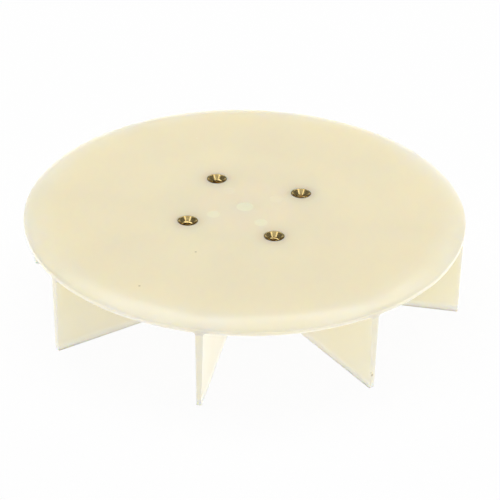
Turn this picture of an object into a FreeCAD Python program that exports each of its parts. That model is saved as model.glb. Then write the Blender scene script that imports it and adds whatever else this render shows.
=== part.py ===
import FreeCAD
import Part
import math
import os

# A moulded stirrer fan: a flat round plate with eight radial blades under it and four
# brass threaded inserts in its top. Millimetres, +Z up. The origin is on the fan's axis,
# in the plane of the blades' lower edges.

# Plate
plate_radius = 75.0
plate_thickness = 3.8
shoulder_width = 7.8
shoulder_drop = 2.25
shoulder_corner_radius = 0.5
rim_corner_radius = 0.3

# Blades
blade_count = 8
blade_height = 28.0
blade_tip_thickness = 1.6
blade_draft = 1.0
blade_edge_setback = 0.12
blade_edge_draft = 0.6
blade_corner_radius = 0.9
blade_tip_radius = 0.25
blade_root_radius = 0.8

# Core in the middle, hollow from below
core_radius = 8.0
core_wall = 2.6
core_tip_radius = 0.4

# Inserts and the bosses that hold them
insert_count = 4
insert_circle_radius = 21.56
insert_blade_offset = 2.67
insert_set_depth = 0.1
insert_radius = 3.5
insert_length = 9.5
insert_collar_height = 1.4
insert_groove_height = 1.3
insert_groove_depth = 0.45
insert_tail_height = 0.9
knurl_teeth = 24
knurl_depth = 0.22
thread_crest_radius = 1.62
mouth_rim_width = 0.35
mouth_half_angle = 45.0
tail_chamfer = 0.3
boss_wall = 2.2
boss_floor = 1.8
boss_tip_radius = 0.6

# Round witness marks on the top
centre_mark_radius = 2.9
ring_mark_radius = 2.2
ring_mark_circle_radius = 11.9
mark_depth = 0.05

# How far what is added under the plate runs up into it, and a cut runs past what it cuts
bite = 1.0

# Heights
under_z = blade_height
top_z = under_z + plate_thickness
bed_z = under_z + bite
insert_top_z = top_z - insert_set_depth
insert_bottom_z = insert_top_z - insert_length
boss_bottom_z = insert_bottom_z - boss_floor

# Angle from a blade to the insert beside it, seen from the axis
insert_lag = math.degrees(math.asin(insert_blade_offset / insert_circle_radius))
insert_angles = [360.0 / blade_count - insert_lag + k * 360.0 / insert_count
                 for k in range(insert_count)]

axis = FreeCAD.Vector(0, 0, 1)
centre = FreeCAD.Vector(0, 0, 0)


def at(x, y, z):
    return FreeCAD.Vector(x, y, z)


def on_xz(a, b):
    return at(a, 0, b)


def on_yz(a, b):
    return at(0, a, b)


def line(a, b):
    return Part.LineSegment(a, b).toShape()


def arc(a, through, b):
    return Part.Arc(a, through, b).toShape()


def polar(radius, angle, z):
    turn = math.radians(angle)
    return at(radius * math.cos(turn), radius * math.sin(turn), z)


def rounded(before, point, after, radius):
    # The start, middle and end of a round that takes the place of a corner
    back = (before - point).normalize()
    on = (after - point).normalize()
    half = math.acos(back.dot(on)) / 2
    reach = radius / math.tan(half)
    middle = point + (back + on).normalize() * (radius / math.sin(half) - radius)
    return point + back * reach, middle, point + on * reach


def outline(corners, plane=on_xz):
    # A closed face from its corners, each two places and, where it is round, a radius
    spots = [plane(corner[0], corner[1]) for corner in corners]
    count = len(spots)
    turns = []
    for i in range(count):
        if len(corners[i]) > 2:
            turns.append(rounded(spots[i - 1], spots[i], spots[(i + 1) % count], corners[i][2]))
        else:
            turns.append((spots[i], None, spots[i]))
    edges = []
    for i in range(count):
        start, middle, end = turns[i]
        if middle:
            edges.append(arc(start, middle, end))
        edges.append(line(end, turns[(i + 1) % count][0]))
    return Part.Face(Part.Wire(edges))


def turned(face):
    return face.revolve(centre, axis, 360)


def edges_at(shape, radius, z):
    # The circular edges of a turned shape at one radius and height
    found = []
    for edge in shape.Edges:
        point = edge.valueAt(edge.FirstParameter)
        away = abs(math.hypot(point.x, point.y) - radius)
        if away < 1e-4 and abs(point.z - z) < 1e-4:
            found.append(edge)
    return found


def on_insert_circle(shape, angle):
    # A copy of a shape made on the axis, moved to one insert's place and turned with it
    copy = shape.copy()
    copy.rotate(centre, axis, angle)
    copy.translate(polar(insert_circle_radius, angle, 0))
    return copy


def make_plate():
    # Flat top, then a shoulder that leaves it tangent and falls to a short upright edge
    sweep = (shoulder_width ** 2 + shoulder_drop ** 2) / (2 * shoulder_drop)
    half_turn = math.asin(shoulder_width / sweep) / 2
    flat_radius = plate_radius - shoulder_width
    middle = at(flat_radius + sweep * math.sin(half_turn), 0,
                top_z - sweep * (1 - math.cos(half_turn)))
    top_middle = at(0, 0, top_z)
    shoulder_top = at(flat_radius, 0, top_z)
    shoulder_foot = at(plate_radius, 0, top_z - shoulder_drop)
    rim = at(plate_radius, 0, under_z)
    under_middle = at(0, 0, under_z)
    edges = [line(under_middle, rim), line(rim, shoulder_foot),
             arc(shoulder_foot, middle, shoulder_top), line(shoulder_top, top_middle),
             line(top_middle, under_middle)]
    plate = turned(Part.Face(Part.Wire(edges)))
    plate = plate.makeFillet(shoulder_corner_radius,
                             edges_at(plate, plate_radius, top_z - shoulder_drop))
    return plate.makeFillet(rim_corner_radius, edges_at(plate, plate_radius, under_z))


def make_blades():
    # One blade's section, with its draft and rounds, run out from the axis and trimmed to
    # the outline that all blades share
    tip = blade_tip_thickness / 2
    root = tip + blade_height * math.tan(math.radians(blade_draft))
    flare = root + blade_root_radius
    side = [(tip, 0, blade_tip_radius), (root, under_z, blade_root_radius), (flare, under_z),
            (flare, bed_z)]
    other_side = [(-corner[0],) + corner[1:] for corner in reversed(side)]
    section = outline(side + other_side, on_yz)
    outer = plate_radius - blade_edge_setback
    outer_tip = outer - blade_height * math.tan(math.radians(blade_edge_draft))
    envelope = turned(outline([(0, 0), (outer_tip, 0, blade_corner_radius), (outer, under_z),
                               (outer, bed_z), (0, bed_z)]))
    blade = section.extrude(at(plate_radius, 0, 0)).common(envelope)
    blades = []
    for k in range(blade_count):
        copy = blade.copy()
        copy.rotate(centre, axis, k * 360.0 / blade_count)
        blades.append(copy)
    return blades


def make_core():
    # A plain round core where the blades meet
    return turned(outline([(0, 0), (core_radius, 0, core_tip_radius), (core_radius, bed_z),
                           (0, bed_z)]))


def make_core_hollow():
    bore = core_radius - core_wall
    return turned(outline([(0, -bite), (bore, -bite), (bore, under_z, core_tip_radius),
                           (0, under_z)]))


def make_boss():
    # A closed round boss that holds one insert, made on the axis
    radius = insert_radius + boss_wall
    return turned(outline([(0, boss_bottom_z), (radius, boss_bottom_z, boss_tip_radius),
                           (radius, bed_z), (0, bed_z)]))


def make_knurl(z0, z1):
    # A band of straight teeth round an insert
    points = []
    for k in range(2 * knurl_teeth):
        radius = insert_radius - (k % 2) * knurl_depth
        points.append(polar(radius, k * 180.0 / knurl_teeth, z0))
    points.append(points[0])
    return Part.Face(Part.makePolygon(points)).extrude(at(0, 0, z1 - z0))


def make_insert_body():
    # An insert without its hole: a plain collar at the top, then two knurled bands between
    # grooves, and a plain tail
    waist = insert_radius - insert_groove_depth
    collar_z = insert_top_z - insert_collar_height
    tail_z = insert_bottom_z + insert_tail_height
    band = (collar_z - tail_z - 2 * insert_groove_height) / 2
    upper = tail_z + band + insert_groove_height
    body = Part.makeCylinder(waist, insert_length, at(0, 0, insert_bottom_z))
    collar = Part.makeCylinder(insert_radius, insert_collar_height, at(0, 0, collar_z))
    return body.fuse([collar, make_knurl(tail_z, tail_z + band), make_knurl(upper, upper + band)])


def make_insert_hole():
    # The threaded hole, its countersunk mouth and a small chamfer at its lower end
    mouth = insert_radius - mouth_rim_width
    mouth_depth = (mouth - thread_crest_radius) / math.tan(math.radians(mouth_half_angle))
    foot = thread_crest_radius + tail_chamfer
    return turned(outline([(0, insert_bottom_z - bite), (foot, insert_bottom_z - bite),
                           (foot, insert_bottom_z),
                           (thread_crest_radius, insert_bottom_z + tail_chamfer),
                           (thread_crest_radius, insert_top_z - mouth_depth),
                           (mouth, insert_top_z), (mouth, insert_top_z + bite),
                           (0, insert_top_z + bite)]))


def make_insert():
    return make_insert_body().cut(make_insert_hole()).removeSplitter()


def make_pocket():
    # What an insert leaves in the plastic: its own shape, open to the top above it
    above = Part.makeCylinder(insert_radius, insert_set_depth + bite, at(0, 0, insert_top_z))
    return make_insert_body().fuse(above)


def make_mark(radius, spot):
    # A shallow round recess in the flat top
    return Part.makeCylinder(radius, mark_depth + bite, spot + at(0, 0, top_z - mark_depth))


def make_moulding():
    boss, pocket = make_boss(), make_pocket()
    added = make_blades() + [make_core()]
    removed = [make_core_hollow(), make_mark(centre_mark_radius, centre)]
    for angle in insert_angles:
        added.append(on_insert_circle(boss, angle))
        removed.append(on_insert_circle(pocket, angle))
        removed.append(make_mark(ring_mark_radius, polar(ring_mark_circle_radius, angle, 0)))
    return make_plate().fuse(added).cut(removed).removeSplitter()


def save(shape, name):
    solid = shape.Solids[0]
    print(name, "solids", len(shape.Solids), "valid", solid.isValid(),
          "volume %.1f" % solid.Volume)
    solid.exportStep("parts/" + name + ".step")


os.makedirs("parts", exist_ok=True)
save(make_moulding(), "fan_moulding")
insert = make_insert()
for k in range(insert_count):
    save(on_insert_circle(insert, insert_angles[k]), "threaded_insert_" + str(k + 1))
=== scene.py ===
import bpy
import math
from mathutils import Vector, Matrix


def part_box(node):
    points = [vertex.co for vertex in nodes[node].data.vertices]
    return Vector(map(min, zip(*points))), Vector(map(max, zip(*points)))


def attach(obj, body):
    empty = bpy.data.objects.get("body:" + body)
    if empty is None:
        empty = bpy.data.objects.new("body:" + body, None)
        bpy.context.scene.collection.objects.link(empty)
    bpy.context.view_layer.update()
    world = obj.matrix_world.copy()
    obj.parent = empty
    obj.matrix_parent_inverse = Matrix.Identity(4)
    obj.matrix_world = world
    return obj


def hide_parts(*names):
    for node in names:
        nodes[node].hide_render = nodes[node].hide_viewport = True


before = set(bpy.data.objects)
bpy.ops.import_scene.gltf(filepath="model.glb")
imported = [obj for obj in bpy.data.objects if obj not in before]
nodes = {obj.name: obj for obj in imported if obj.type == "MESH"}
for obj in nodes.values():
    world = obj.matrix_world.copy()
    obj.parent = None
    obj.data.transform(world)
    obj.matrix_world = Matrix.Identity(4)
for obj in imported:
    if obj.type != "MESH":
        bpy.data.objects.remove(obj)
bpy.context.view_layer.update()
scene = bpy.context.scene
print("frame loaded:", sorted(nodes))

# the photograph's own camera, found from the rim, the inserts and the blades
cameraView = {
    "azimuth": 10.45,
    "elevation": 31.03,
    "roll": 0.98,
    "distance": 0.8153,
    "aimSide": 0.00198,
    "aimFront": 0.00757,
    "aimHeight": 0.0192,
    "lens": 172.8,
    "sensor": 36.0,
    "nearest": 0.01,
    "farthest": 50,
}


def makeCamera(v):
    turn = Matrix.Rotation(math.radians(v["azimuth"]), 3, "Z")
    tilt = math.radians(v["elevation"])
    ahead = turn @ Vector((0, math.cos(tilt), -math.sin(tilt)))
    side = turn @ Vector((1, 0, 0))
    up = side.cross(ahead)
    roll = math.radians(v["roll"])
    right = side * math.cos(roll) + up * math.sin(roll)
    top = up * math.cos(roll) - side * math.sin(roll)
    aim = turn @ Vector((v["aimSide"], -v["aimFront"], v["aimHeight"]))
    bpy.ops.object.camera_add()
    camera = bpy.context.object
    camera.name = "photoCamera"
    camera.data.lens = v["lens"]
    camera.data.sensor_width = v["sensor"]
    camera.data.clip_start = v["nearest"]
    camera.data.clip_end = v["farthest"]
    camera.matrix_world = Matrix.Translation(aim - ahead * v["distance"]) @ Matrix(
        (right, top, -ahead)).transposed().to_4x4()
    scene.camera = camera


makeCamera(cameraView)
print("camera placed")

# a lamp's turn is degrees to the right of the camera, and its rise is degrees above the floor, as
# shineFrom and shineTo are; the light table lies just above the floor and lights the blades and
# the underside
studio = {
    "roomLight": 0.26,
    "shineFrom": 4,
    "shineTo": 20,
    "shineRoom": 0.12,
    "floorSize": 6.0,
    "floorHeight": -0.0002,
    "floorColour": (0.92, 0.92, 0.92, 1),
    "floorGlow": 0.95,
    "aimHeight": 0.02,
    "lamps": {
        "keyLeft": {"turn": -49, "rise": 54, "away": 0.9, "wide": 0.2, "high": 0.4, "power": 0.25},
        "keyRight": {"turn": 49, "rise": 54, "away": 0.9, "wide": 0.2, "high": 0.4, "power": 0.25},
        "frontTop": {"turn": 0, "rise": 59, "away": 0.9, "wide": 1.0, "high": 0.3, "power": 0.4},
        "overhead": {"turn": 180, "rise": 75, "away": 1.0, "wide": 1.4, "high": 0.9, "power": 7.3},
        "sideRight": {"turn": 100, "rise": 9, "away": 1.1, "wide": 0.9, "high": 0.3, "power": 1.0},
        "back": {"turn": 180, "rise": 62, "away": 1.1, "wide": 1.2, "high": 0.4, "power": 1.5},
        "lightTable": {"turn": 0, "rise": -90, "away": 0.0201, "wide": 0.5, "high": 0.5, "power": 0.45},
    },
}


def addMath(tree, operation, first, second=None, third=None):
    step = tree.nodes.new("ShaderNodeMath")
    step.operation = operation
    for k, value in enumerate((first, second, third)):
        if isinstance(value, bpy.types.NodeSocket):
            tree.links.new(value, step.inputs[k])
        elif value is not None:
            step.inputs[k].default_value = value
    return step.outputs["Value"]


def addFade(tree, value, fromMin, fromMax, toMin=0.0, toMax=1.0):
    fade = tree.nodes.new("ShaderNodeMapRange")
    fade.interpolation_type = "SMOOTHSTEP"
    fade.inputs["From Min"].default_value = fromMin
    fade.inputs["From Max"].default_value = fromMax
    fade.inputs["To Min"].default_value = toMin
    fade.inputs["To Max"].default_value = toMax
    tree.links.new(value, fade.inputs["Value"])
    return fade.outputs["Result"]


def addTone(tree, share, under, over):
    # colour under, covered by colour over as far as share says
    tone = tree.nodes.new("ShaderNodeMix")
    tone.data_type = "RGBA"
    for name, value in (("Factor", share), ("A", under), ("B", over)):
        socket = [s for s in tone.inputs if s.name == name and s.enabled][0]
        if isinstance(value, bpy.types.NodeSocket):
            tree.links.new(value, socket)
        else:
            socket.default_value = value
    return [s for s in tone.outputs if s.enabled][0]


def addNoise(tree, place, scale, detail=2.0, roughness=0.5):
    noise = tree.nodes.new("ShaderNodeTexNoise")
    noise.inputs["Scale"].default_value = scale
    noise.inputs["Detail"].default_value = detail
    noise.inputs["Roughness"].default_value = roughness
    tree.links.new(place, noise.inputs["Vector"])
    return noise.outputs["Fac"]


def addDistance(tree, place, spot):
    away = tree.nodes.new("ShaderNodeVectorMath")
    away.operation = "DISTANCE"
    tree.links.new(place, away.inputs[0])
    away.inputs[1].default_value = spot
    return away.outputs["Value"]


def addRoughness(tree, finish, pattern, patternFrom, patternTo, bsdf):
    low = finish["roughness"] - finish["roughnessSwing"]
    high = finish["roughness"] + finish["roughnessSwing"]
    tree.links.new(addFade(tree, pattern, patternFrom, patternTo, low, high), bsdf.inputs["Roughness"])


def addBump(tree, finish, height, bsdf):
    bump = tree.nodes.new("ShaderNodeBump")
    bump.inputs["Strength"].default_value = finish["bumpStrength"]
    bump.inputs["Distance"].default_value = finish["bumpDistance"]
    tree.links.new(height, bump.inputs["Height"])
    tree.links.new(bump.outputs["Normal"], bsdf.inputs["Normal"])


def addSeen(tree, path):
    # what the camera sees, straight or in something that shines or is clear
    shine = addMath(tree, "MAXIMUM", path.outputs["Is Glossy Ray"], path.outputs["Is Transmission Ray"])
    return addMath(tree, "MAXIMUM", path.outputs["Is Camera Ray"], shine)


def sineOf(degrees):
    return math.sin(math.radians(degrees))


def makeWorld(s):
    world = bpy.data.worlds.new("softRoom")
    scene.world = world
    world.use_nodes = True
    tree = world.node_tree
    tree.nodes.clear()
    out = tree.nodes.new("ShaderNodeOutputWorld")
    room = tree.nodes.new("ShaderNodeBackground")
    room.inputs["Color"].default_value = (1, 1, 1, 1)
    room.inputs["Strength"].default_value = s["roomLight"]
    way = tree.nodes.new("ShaderNodeTexCoord")
    parts = tree.nodes.new("ShaderNodeSeparateXYZ")
    tree.links.new(way.outputs["Generated"], parts.inputs["Vector"])
    white = tree.nodes.new("ShaderNodeBackground")
    white.inputs["Color"].default_value = (1, 1, 1, 1)
    # the camera sees white, and what shines shows white below and the dim room above
    path = tree.nodes.new("ShaderNodeLightPath")
    low = addFade(tree, parts.outputs["Z"], sineOf(s["shineFrom"]), sineOf(s["shineTo"]), 1, s["shineRoom"])
    tree.links.new(addMath(tree, "MAXIMUM", path.outputs["Is Camera Ray"], low), white.inputs["Strength"])
    mix = tree.nodes.new("ShaderNodeMixShader")
    tree.links.new(addSeen(tree, path), mix.inputs["Fac"])
    tree.links.new(room.outputs["Background"], mix.inputs[1])
    tree.links.new(white.outputs["Background"], mix.inputs[2])
    tree.links.new(mix.outputs["Shader"], out.inputs["Surface"])


def makeFloor(s):
    bpy.ops.mesh.primitive_plane_add(size=s["floorSize"], location=(0, 0, s["floorHeight"]))
    floor = bpy.context.object
    floor.name = "floor"
    mat = bpy.data.materials.new("paleFloor")
    mat.use_nodes = True
    tree = mat.node_tree
    tree.nodes.clear()
    out = tree.nodes.new("ShaderNodeOutputMaterial")
    board = tree.nodes.new("ShaderNodeBsdfDiffuse")
    board.inputs["Color"].default_value = s["floorColour"]
    glow = tree.nodes.new("ShaderNodeEmission")
    path = tree.nodes.new("ShaderNodeLightPath")
    mix = tree.nodes.new("ShaderNodeMixShader")
    tree.links.new(addMath(tree, "MULTIPLY", addSeen(tree, path), s["floorGlow"]), mix.inputs["Fac"])
    tree.links.new(board.outputs["BSDF"], mix.inputs[1])
    tree.links.new(glow.outputs["Emission"], mix.inputs[2])
    tree.links.new(mix.outputs["Shader"], out.inputs["Surface"])
    floor.data.materials.append(mat)


def softBox(name, b, aimHeight):
    turn = math.radians(cameraView["azimuth"] + b["turn"])
    rise = math.radians(b["rise"])
    aim = Vector((0, 0, aimHeight))
    level = Vector((math.sin(turn), -math.cos(turn), 0)) * math.cos(rise)
    place = aim + (level + Vector((0, 0, math.sin(rise)))) * b["away"]
    bpy.ops.object.light_add(type="AREA", location=place)
    lamp = bpy.context.object
    lamp.name = name
    lamp.data.energy = b["power"]
    lamp.data.shape = "RECTANGLE"
    lamp.data.size = b["wide"]
    lamp.data.size_y = b["high"]
    lamp.rotation_euler = (aim - place).to_track_quat("-Z", "Y").to_euler()
    lamp.visible_camera = False


makeWorld(studio)
makeFloor(studio)
for lampName, box in studio["lamps"].items():
    softBox(lampName, box, studio["aimHeight"])
scene.view_settings.view_transform = "Standard"
print("studio lit")

# the colours hold painted light, paler at the rim and in the thin blades and most at their feet, and
# lighter and warmer over the core, and painted shade, warm round the inserts and grey at the rim's lower
# corner; a glow says how deep light goes, as a share of glowDepth
creamPlastic = {
    "thickColour": (0.852, 0.776, 0.603, 1),
    "paintedRimLightColour": (0.84, 0.795, 0.69, 1),
    "rimFrom": 0.062,
    "rimTo": 0.073,
    "paintedInnerLightColour": (0.895, 0.80, 0.607, 1),
    "innerFrom": 0.030,
    "innerTo": 0.052,
    "paintedBladeLightColour": (0.84, 0.79, 0.665, 1),
    "bladeFrom": 0.0262,
    "bladeTo": 0.0288,
    "paintedCornerShadeColour": (0.66, 0.64, 0.61, 1),
    "cornerHeight": 0.0281,
    "cornerFull": 0.0004,
    "cornerNone": 0.0013,
    "cornerFrom": 0.0735,
    "cornerTo": 0.0744,
    "cloudColour": (0.825, 0.757, 0.59, 1),
    "cloudScale": 28,
    "cloudFrom": 0.35,
    "cloudTo": 0.65,
    "cloudShare": 0.5,
    "paintedFootLightColour": (1.0, 0.975, 0.87, 1),
    "footFrom": 0.0002,
    "footPaleTo": 0.0036,
    "footTo": 0.0028,
    "footGlow": 0.03,
    "paintedMiddleLightColour": (0.925, 0.825, 0.62, 1),
    "middleFrom": 0.0102,
    "middleTo": 0.0238,
    "middleGlow": 0.5,
    "paintedHaloShadeColour": (0.90, 0.76, 0.52, 1),
    "haloInner": 0.0034,
    "haloOuter": 0.0075,
    "haloShare": 0.6,
    "haloGlow": 0.3,
    "roughness": 0.3,
    "roughnessSwing": 0.02,
    "wavyScale": 160,
    "wavyDetail": 2,
    "wavyFrom": 0.3,
    "wavyTo": 0.7,
    "grainScale": 900,
    "grainDetail": 3,
    "grainRoughness": 0.6,
    "grainShare": 0.3,
    "bumpDistance": 0.00006,
    "bumpStrength": 0.05,
    "ior": 1.5,
    "glowDepth": 0.008,
    "glowRadius": (1.0, 0.85, 0.55),
}
# each insert stands close beside a blade, aside from the blade's middle plane
insertCircle = {"radius": 0.02156, "aside": 0.00267, "blades": 8, "count": 4}
# round pale marks, one in the middle and four on a ring, with how pale each is
paleMarks = {
    "colour": (1.0, 0.93, 0.69, 1),
    "centreRadius": 0.0029,
    "centreShare": 0.75,
    "ringCircle": 0.0119,
    "ringRadius": 0.0022,
    "ringShares": (0.25, 0.2, 0.55, 0.6),
    "edge": 0.0003,
}
# specks in the plastic: place, radius, colour and strength
darkSpeck = (0.30, 0.25, 0.15, 1)
lightSpeck = (0.95, 0.93, 0.80, 1)
speckCore = 0.3
specks = [
    ((-0.01010, -0.03267, 0.0318), 0.00055, darkSpeck, 0.55),
    ((-0.02334, -0.05722, 0.0318), 0.00055, darkSpeck, 0.6),
    ((0.05228, -0.05329, 0.0063), 0.0005, darkSpeck, 0.35),
    ((0.05260, -0.05296, 0.0053), 0.0007, darkSpeck, 0.6),
    ((0.05162, -0.00122, 0.0318), 0.0006, lightSpeck, 0.5),
    ((-0.02612, 0.04446, 0.0318), 0.0006, lightSpeck, 0.3),
]


def insertAngle(k):
    lag = math.degrees(math.asin(insertCircle["aside"] / insertCircle["radius"]))
    return 360 / insertCircle["blades"] - lag + k * 360 / insertCircle["count"]


def ringSpot(radius, k, height):
    turn = math.radians(insertAngle(k))
    return (radius * math.cos(turn), radius * math.sin(turn), height)


def addPlasticTones(tree, p, place, reach, height):
    # painted light: paler towards the rim, standing in for light coming through the thin plastic and for
    # the shoulder's sheen
    rim = addFade(tree, reach, p["rimFrom"], p["rimTo"])
    colour = addTone(tree, rim, p["thickColour"], p["paintedRimLightColour"])
    # painted light: lighter and warmer over the inner plate, against the shade that the core and bosses
    # cast in the glow
    inner = addFade(tree, reach, p["innerFrom"], p["innerTo"], 1, 0)
    colour = addTone(tree, inner, colour, p["paintedInnerLightColour"])
    # painted light: paler in the blades, standing in for light coming through them from below
    blade = addFade(tree, height, p["bladeFrom"], p["bladeTo"], 1, 0)
    colour = addTone(tree, blade, colour, p["paintedBladeLightColour"])
    # painted shade: the rim's lower corner is darkened, to dim the light it catches
    away = addMath(tree, "ABSOLUTE", addMath(tree, "SUBTRACT", height, p["cornerHeight"]))
    corner = addFade(tree, away, p["cornerFull"], p["cornerNone"], 1, 0)
    corner = addMath(tree, "MULTIPLY", corner, addFade(tree, reach, p["cornerFrom"], p["cornerTo"]))
    colour = addTone(tree, corner, colour, p["paintedCornerShadeColour"])
    clouds = addNoise(tree, place, p["cloudScale"])
    cloud = addFade(tree, clouds, p["cloudFrom"], p["cloudTo"], 0, p["cloudShare"])
    colour = addTone(tree, cloud, colour, p["cloudColour"])
    # painted light: palest at the blades' feet, against the shade there near the floor
    foot = addFade(tree, height, p["footFrom"], p["footPaleTo"], 1, 0)
    return addTone(tree, foot, colour, p["paintedFootLightColour"])


def addHalo(tree, p, place, top):
    # strongest at the edge of each insert
    halo = None
    for k in range(insertCircle["count"]):
        near = addDistance(tree, place, ringSpot(insertCircle["radius"], k, top))
        one = addFade(tree, near, p["haloInner"], p["haloOuter"], p["haloShare"], 0)
        halo = one if halo is None else addMath(tree, "MAXIMUM", halo, one)
    return halo


def addMarks(tree, m, place, top, colour):
    spots = [((0, 0, top), m["centreRadius"], m["centreShare"])]
    for k, share in enumerate(m["ringShares"]):
        spots.append((ringSpot(m["ringCircle"], k, top), m["ringRadius"], share))
    for spot, radius, share in spots:
        near = addDistance(tree, place, spot)
        inside = addFade(tree, near, radius - m["edge"], radius + m["edge"], share, 0)
        colour = addTone(tree, inside, colour, m["colour"])
    return colour


def addSpecks(tree, place, colour):
    for spot, radius, speckColour, share in specks:
        near = addDistance(tree, place, spot)
        inside = addFade(tree, near, speckCore * radius, radius, share, 0)
        colour = addTone(tree, inside, colour, speckColour)
    return colour


def addGrain(tree, p, place, bsdf):
    # slow waves in the moulded surface, with a fine grain on them
    wavy = addNoise(tree, place, p["wavyScale"], p["wavyDetail"])
    addRoughness(tree, p, wavy, p["wavyFrom"], p["wavyTo"], bsdf)
    grain = addNoise(tree, place, p["grainScale"], p["grainDetail"], p["grainRoughness"])
    addBump(tree, p, addMath(tree, "MULTIPLY_ADD", grain, p["grainShare"], wavy), bsdf)


def addGlow(tree, p, height, middle, halo, bsdf):
    # light goes less deep in the feet, over the core and at the inserts, where it would be lost
    deep = p["glowDepth"]
    depth = addFade(tree, height, p["footFrom"], p["footTo"], p["footGlow"] * deep, deep)
    depth = addMath(tree, "MULTIPLY", depth, addFade(tree, middle, 0, 1, 1, p["middleGlow"]))
    depth = addMath(tree, "MULTIPLY", depth, addFade(tree, halo, 0, p["haloShare"], 1, p["haloGlow"]))
    tree.links.new(depth, bsdf.inputs["Subsurface Scale"])
    bsdf.inputs["Subsurface Weight"].default_value = 1
    bsdf.inputs["Subsurface Radius"].default_value = p["glowRadius"]


def makePlastic(p, top):
    mat = bpy.data.materials.new("creamPlastic")
    mat.use_nodes = True
    tree = mat.node_tree
    bsdf = tree.nodes["Principled BSDF"]
    coords = tree.nodes.new("ShaderNodeTexCoord")
    place = coords.outputs["Object"]
    parts = tree.nodes.new("ShaderNodeSeparateXYZ")
    tree.links.new(place, parts.inputs["Vector"])
    flat = tree.nodes.new("ShaderNodeCombineXYZ")
    tree.links.new(parts.outputs["X"], flat.inputs["X"])
    tree.links.new(parts.outputs["Y"], flat.inputs["Y"])
    reach = addDistance(tree, flat.outputs["Vector"], (0, 0, 0))
    height = parts.outputs["Z"]
    colour = addPlasticTones(tree, p, place, reach, height)
    # painted light: lighter over the core, against the light lost down into it
    middle = addFade(tree, reach, p["middleFrom"], p["middleTo"], 1, 0)
    colour = addTone(tree, middle, colour, p["paintedMiddleLightColour"])
    # painted shade round each insert, warm and darker, for the dark brass seen through the plastic
    halo = addHalo(tree, p, place, top)
    colour = addTone(tree, halo, colour, p["paintedHaloShadeColour"])
    colour = addMarks(tree, paleMarks, place, top, colour)
    tree.links.new(addSpecks(tree, place, colour), bsdf.inputs["Base Color"])
    bsdf.inputs["IOR"].default_value = p["ior"]
    addGrain(tree, p, place, bsdf)
    addGlow(tree, p, height, middle, halo, bsdf)
    return mat


turnedBrass = {
    "colour": (0.86, 0.66, 0.29, 1),
    "dullColour": (0.60, 0.42, 0.15, 1),
    "dullScale": 900,
    "dullDetail": 3,
    "dullFrom": 0.4,
    "dullTo": 0.7,
    "dullShare": 0.4,
    "roughness": 0.18,
    "roughnessSwing": 0.05,
    "lineScale": 9000,
    "lineDetail": 2,
    "lineRoughness": 0.6,
    "lineFrom": 0.3,
    "lineTo": 0.7,
    "bumpDistance": 0.00001,
    "bumpStrength": 0.15,
    "anisotropic": 0.6,
    "acrossTheLines": 0.25,
}


def makeBrass(b):
    mat = bpy.data.materials.new("turnedBrass")
    mat.use_nodes = True
    tree = mat.node_tree
    bsdf = tree.nodes["Principled BSDF"]
    coords = tree.nodes.new("ShaderNodeTexCoord")
    uv = tree.nodes.new("ShaderNodeUVMap")
    uv.uv_map = "turning"
    patches = addNoise(tree, coords.outputs["Object"], b["dullScale"], b["dullDetail"])
    dull = addFade(tree, patches, b["dullFrom"], b["dullTo"], 0, b["dullShare"])
    tree.links.new(addTone(tree, dull, b["colour"], b["dullColour"]), bsdf.inputs["Base Color"])
    parts = tree.nodes.new("ShaderNodeSeparateXYZ")
    tree.links.new(uv.outputs["UV"], parts.inputs["Vector"])
    alongOnly = tree.nodes.new("ShaderNodeCombineXYZ")
    tree.links.new(parts.outputs["Y"], alongOnly.inputs["X"])
    lines = addNoise(tree, alongOnly.outputs["Vector"], b["lineScale"], b["lineDetail"], b["lineRoughness"])
    addRoughness(tree, b, lines, b["lineFrom"], b["lineTo"], bsdf)
    addBump(tree, b, lines, bsdf)
    tangent = tree.nodes.new("ShaderNodeTangent")
    tangent.direction_type = "UV_MAP"
    tangent.uv_map = "turning"
    tree.links.new(tangent.outputs["Tangent"], bsdf.inputs["Tangent"])
    bsdf.inputs["Metallic"].default_value = 1
    bsdf.inputs["Anisotropic"].default_value = b["anisotropic"]
    bsdf.inputs["Anisotropic Rotation"].default_value = b["acrossTheLines"]
    return mat


def paint(ob, mat):
    ob.data.materials.clear()
    ob.data.materials.append(mat)


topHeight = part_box("fan_moulding")[1][2]
plastic = makePlastic(creamPlastic, topHeight)
brass = makeBrass(turnedBrass)
for name, node in nodes.items():
    paint(node, brass if name.startswith("threaded") else plastic)
print("materials set")

# the moulding, with the top sunk a little over each blade as thick sections cool
mouldedFan = {
    "flatRadius": 0.0672,
    "innerRadius": 0.0272,
    "ringStep": 0.0021,
    "edgeCuts": 2,
    "bladeCount": 8,
    "sinkDepth": 0.0005,
    "creaseHalfWidth": 0.0013,
    "sinkFrom": 0.024,
    "sinkFull": 0.042,
    "rimFade": 0.066,
    "rimEnd": 0.0748,
    "shoulderDrop": 0.0023,
    "smoothAngle": 28,
    "weld": 1e-6,
    "levelNormal": 0.9999,
    "levelSlack": 2e-5,
    "flatSlack": 1e-4,
}


def selectOnly(ob):
    bpy.ops.object.select_all(action="DESELECT")
    ob.select_set(True)
    bpy.context.view_layer.objects.active = ob


def pickOpenEdges(ob, wanted=None):
    # the edges that have a face missing, or those of them whose two ends are wanted
    bpy.ops.object.mode_set(mode="EDIT")
    bpy.ops.mesh.select_mode(type="EDGE")
    bpy.ops.mesh.select_all(action="DESELECT")
    bpy.ops.mesh.select_non_manifold(extend=False)
    if wanted:
        bpy.ops.object.mode_set(mode="OBJECT")
        points = ob.data.vertices
        found = [e.index for e in ob.data.edges if e.select]
        kept = [k for k in found if all(wanted(points[end].co) for end in ob.data.edges[k].vertices)]
        bpy.ops.object.mode_set(mode="EDIT")
        bpy.ops.mesh.select_all(action="DESELECT")
        bpy.ops.object.mode_set(mode="OBJECT")
        for k in kept:
            ob.data.edges[k].select = True
        bpy.ops.object.mode_set(mode="EDIT")


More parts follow.
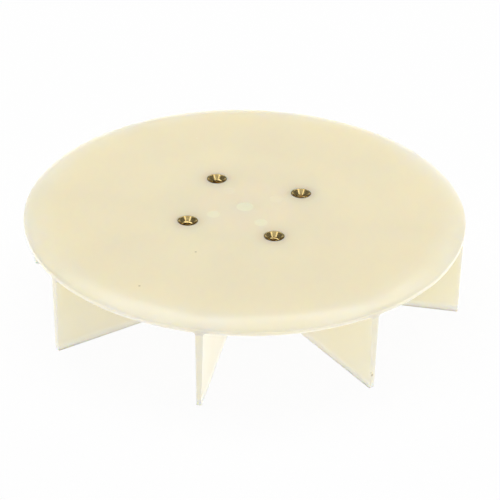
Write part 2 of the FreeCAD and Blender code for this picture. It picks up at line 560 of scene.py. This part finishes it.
def faceOutwards():
    bpy.ops.mesh.select_all(action="SELECT")
    bpy.ops.mesh.normals_make_consistent(inside=False)
    bpy.ops.mesh.select_all(action="DESELECT")
    bpy.ops.object.mode_set(mode="OBJECT")


def makeMouldedFan(m, node, top):
    selectOnly(node)
    bpy.ops.object.duplicate()
    fan = bpy.context.object
    fan.name = "mouldedFan"
    bpy.ops.mesh.customdata_custom_splitnormals_clear()
    bpy.ops.object.mode_set(mode="EDIT")
    bpy.ops.mesh.select_all(action="SELECT")
    bpy.ops.mesh.remove_doubles(threshold=m["weld"])
    bpy.ops.mesh.select_mode(type="FACE")
    bpy.ops.object.mode_set(mode="OBJECT")
    for face in fan.data.polygons:
        level = face.normal.z > m["levelNormal"]
        face.select = level and abs(face.center.z - top) < m["levelSlack"]
    bpy.ops.object.mode_set(mode="EDIT")
    bpy.ops.mesh.delete(type="FACE")
    # the flat top again, as even rings from the shoulder in, then filled round the inserts
    pickOpenEdges(fan, lambda co: co.xy.length > m["flatRadius"] - m["flatSlack"])
    bpy.ops.mesh.subdivide(number_cuts=m["edgeCuts"])
    rings = round((m["flatRadius"] - m["innerRadius"]) / m["ringStep"])
    step = (m["flatRadius"] - m["innerRadius"]) / rings
    radius = m["flatRadius"]
    for k in range(rings):
        bpy.ops.mesh.extrude_edges_move()
        scale = (radius - step) / radius
        bpy.ops.transform.resize(value=(scale, scale, 1), center_override=(0, 0, 0))
        radius -= step
    pickOpenEdges(fan)
    bpy.ops.mesh.fill(use_beauty=True)
    faceOutwards()
    return fan


def smoothStep(value, low, high):
    share = min(max((value - low) / (high - low), 0), 1)
    return share * share * (3 - 2 * share)


def sinkTop(m, fan, top):
    sinks = fan.vertex_groups.new(name="sinkMarks")
    half = m["bladeCount"] / 2
    for point in fan.data.vertices:
        reach = point.co.xy.length
        if point.co.z < top - m["shoulderDrop"] or not m["sinkFrom"] < reach < m["rimEnd"]:
            continue
        turn = math.atan2(point.co.y, point.co.x)
        # arch is 0 over a blade and 1 half way between two
        rounding = half * m["creaseHalfWidth"] / reach
        arch = math.hypot(math.sin(half * turn), rounding) - rounding
        arch /= math.hypot(1, rounding) - rounding
        weight = (1 - arch) * reach / m["rimFade"] * smoothStep(reach, m["sinkFrom"], m["sinkFull"])
        weight *= 1 - smoothStep(reach, m["rimFade"], m["rimEnd"])
        sinks.add([point.index], min(weight, 1), "REPLACE")
    selectOnly(fan)
    sink = fan.modifiers.new("sinkMarks", "DISPLACE")
    sink.direction = "Z"
    sink.mid_level = 0
    sink.strength = -m["sinkDepth"]
    sink.vertex_group = "sinkMarks"
    bpy.ops.object.modifier_apply(modifier="sinkMarks")
    bpy.ops.object.shade_smooth_by_angle(angle=math.radians(m["smoothAngle"]))


fan = makeMouldedFan(mouldedFan, nodes["fan_moulding"], topHeight)
sinkTop(mouldedFan, fan, topHeight)
paint(fan, plastic)
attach(fan, "root")
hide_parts("fan_moulding")
print("moulding made")

# knurled bands outside and a cut thread inside; rootHalf is half the flat at the thread's root,
# as a share of its pitch
brassInsert = {
    "radius": 0.0035,
    "length": 0.0095,
    "bands": 2,
    "collar": 0.0014,
    "groove": 0.0013,
    "grooveDepth": 0.00045,
    "tail": 0.0009,
    "edgeBreak": 0.00008,
    "mouthBreak": 0.00002,
    "teeth": 24,
    "toothDepth": 0.00022,
    "pointsPerTooth": 4,
    "mouthRim": 0.00035,
    "footChamfer": 0.0003,
    "threadCrest": 0.00162,
    "threadRoot": 0.0020,
    "threadPitch": 0.0007,
    "rootHalf": 1 / 16,
    "threadFlank": 30,
    "coilSteps": 48,
    "coilOverlap": 0.00012,
    "smoothAngle": 15,
}


def insertSection(i, top):
    # radius and height, from the rim of the mouth over the outside and back up the hole
    radius = i["radius"]
    waist = radius - i["grooveDepth"]
    crest = i["threadCrest"]
    cut = i["edgeBreak"]
    bottom = top - i["length"]
    band = (i["length"] - i["collar"] - i["tail"] - i["bands"] * i["groove"]) / i["bands"]
    mouth = radius - i["mouthRim"]
    soft = i["mouthBreak"]
    collarFoot = top - i["collar"]
    section = [(mouth + soft, top), (radius - cut, top), (radius, top - cut), (radius, collarFoot + cut),
               (radius - cut, collarFoot), (waist, collarFoot)]
    bandTop = collarFoot - i["groove"]
    for k in range(i["bands"]):
        section += [(waist, bandTop), (radius - 2 * cut, bandTop), (radius, bandTop - 2 * cut),
                    (radius, bandTop - band + 2 * cut), (radius - 2 * cut, bandTop - band),
                    (waist, bandTop - band)]
        bandTop -= band + i["groove"]
    return section + [(waist, bottom + cut), (waist - cut, bottom), (crest + i["footChamfer"], bottom),
                      (crest, bottom + i["footChamfer"]), (crest, top - (mouth - crest)),
                      (mouth - soft, top - soft)]


def makeInsertBody(i, top):
    section = insertSection(i, top)
    bpy.ops.object.select_all(action="DESELECT")
    bpy.ops.mesh.primitive_circle_add(vertices=i["teeth"] * i["pointsPerTooth"], radius=section[0][0],
                                      location=(0, 0, section[0][1]))
    body = bpy.context.object
    bpy.ops.object.transform_apply(location=True)
    bpy.ops.object.mode_set(mode="EDIT")
    bpy.ops.mesh.select_all(action="SELECT")
    for before, after in zip(section, section[1:]):
        scale = after[0] / before[0]
        bpy.ops.mesh.extrude_edges_move(TRANSFORM_OT_translate={"value": (0, 0, after[1] - before[1])})
        bpy.ops.transform.resize(value=(scale, scale, 1), center_override=(0, 0, 0))
    pickOpenEdges(body)
    bpy.ops.mesh.bridge_edge_loops()
    faceOutwards()
    return body


def knurl(i, body, top):
    # each tooth has a line at its crest, one in its valley and one half way down each side
    step = 2 * math.pi / (i["teeth"] * i["pointsPerTooth"])
    belowCollar = top - i["collar"] - i["groove"] / 2
    for lines, depth in (((2,), i["toothDepth"]), ((1, 3), i["toothDepth"] / 2)):
        bpy.ops.object.mode_set(mode="EDIT")
        bpy.ops.mesh.select_mode(type="VERT")
        bpy.ops.mesh.select_all(action="DESELECT")
        bpy.ops.object.mode_set(mode="OBJECT")
        for point in body.data.vertices:
            line = round(math.atan2(point.co.y, point.co.x) / step) % i["pointsPerTooth"]
            onCrest = abs(point.co.xy.length - i["radius"]) < i["edgeBreak"] / 2
            point.select = line in lines and onCrest and point.co.z < belowCollar
        bpy.ops.object.mode_set(mode="EDIT")
        scale = 1 - depth / i["radius"]
        bpy.ops.transform.resize(value=(scale, scale, 1), center_override=(0, 0, 0))
        bpy.ops.mesh.select_all(action="DESELECT")
        bpy.ops.object.mode_set(mode="OBJECT")


def makeThreadCoil(i, top):
    # the thread's own section, run down past both ends of the hole and closed there
    turns = math.ceil(i["length"] / i["threadPitch"]) + 1
    start = top - i["length"] - i["threadPitch"]
    flank = math.tan(math.radians(i["threadFlank"]))
    rootHalf = i["rootHalf"] * i["threadPitch"]
    inner = i["threadCrest"] - i["coilOverlap"]
    innerHalf = rootHalf + (i["threadRoot"] - inner) * flank
    corners = {0: (inner, -innerHalf), 1: (i["threadRoot"], -rootHalf), 2: (inner, innerHalf),
               3: (i["threadRoot"], rootHalf)}
    bpy.ops.object.select_all(action="DESELECT")
    bpy.ops.mesh.primitive_plane_add(size=1)
    coil = bpy.context.object
    for corner, (reach, rise) in corners.items():
        coil.data.vertices[corner].co = (reach, 0, start + rise)
    bpy.ops.object.mode_set(mode="EDIT")
    bpy.ops.mesh.select_all(action="SELECT")
    bpy.ops.mesh.delete(type="ONLY_FACE")
    bpy.ops.object.mode_set(mode="OBJECT")
    screw = coil.modifiers.new("thread", "SCREW")
    screw.axis = "Z"
    screw.screw_offset = i["threadPitch"]
    screw.iterations = turns
    screw.steps = i["coilSteps"]
    screw.render_steps = i["coilSteps"]
    bpy.ops.object.modifier_apply(modifier="thread")
    middle = start + turns * i["threadPitch"] / 2
    for upper in (False, True):
        pickOpenEdges(coil, lambda co: (co.z > middle) == upper)
        bpy.ops.mesh.edge_face_add()
        bpy.ops.object.mode_set(mode="OBJECT")
    bpy.ops.object.mode_set(mode="EDIT")
    faceOutwards()
    return coil


def markTurning(body):
    # u runs round the axis and v along the section, both for the lathe's marks
    turning = body.data.uv_layers.new(name="turning")
    points = body.data.vertices
    for face in body.data.polygons:
        middle = math.atan2(face.center.y, face.center.x)
        for loop in face.loop_indices:
            co = points[body.data.loops[loop].vertex_index].co
            turn = math.atan2(co.y, co.x)
            turn += 2 * math.pi * round((middle - turn) / (2 * math.pi))
            turning.data[loop].uv = (turn / (2 * math.pi), co.xy.length + co.z)


def makeInsert(i, top):
    body = makeInsertBody(i, top)
    knurl(i, body, top)
    coil = makeThreadCoil(i, top)
    selectOnly(body)
    cut = body.modifiers.new("thread", "BOOLEAN")
    cut.operation = "DIFFERENCE"
    cut.solver = "EXACT"
    cut.object = coil
    bpy.ops.object.modifier_apply(modifier="thread")
    bpy.data.objects.remove(coil)
    markTurning(body)
    bpy.ops.object.shade_smooth_by_angle(angle=math.radians(i["smoothAngle"]))
    paint(body, brass)
    return body


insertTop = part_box("threaded_insert_1")[1][2]
firstInsert = makeInsert(brassInsert, insertTop)
for k in range(insertCircle["count"]):
    selectOnly(firstInsert)
    bpy.ops.object.duplicate()
    insert = bpy.context.object
    insert.name = "brassInsert" + str(k + 1)
    insert.rotation_euler = (0, 0, math.radians(insertAngle(k)))
    insert.location = ringSpot(insertCircle["radius"], k, 0)
    bpy.ops.object.transform_apply(location=True, rotation=True)
    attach(insert, "root")
    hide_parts("threaded_insert_" + str(k + 1))
bpy.data.objects.remove(firstInsert)
print("inserts made")
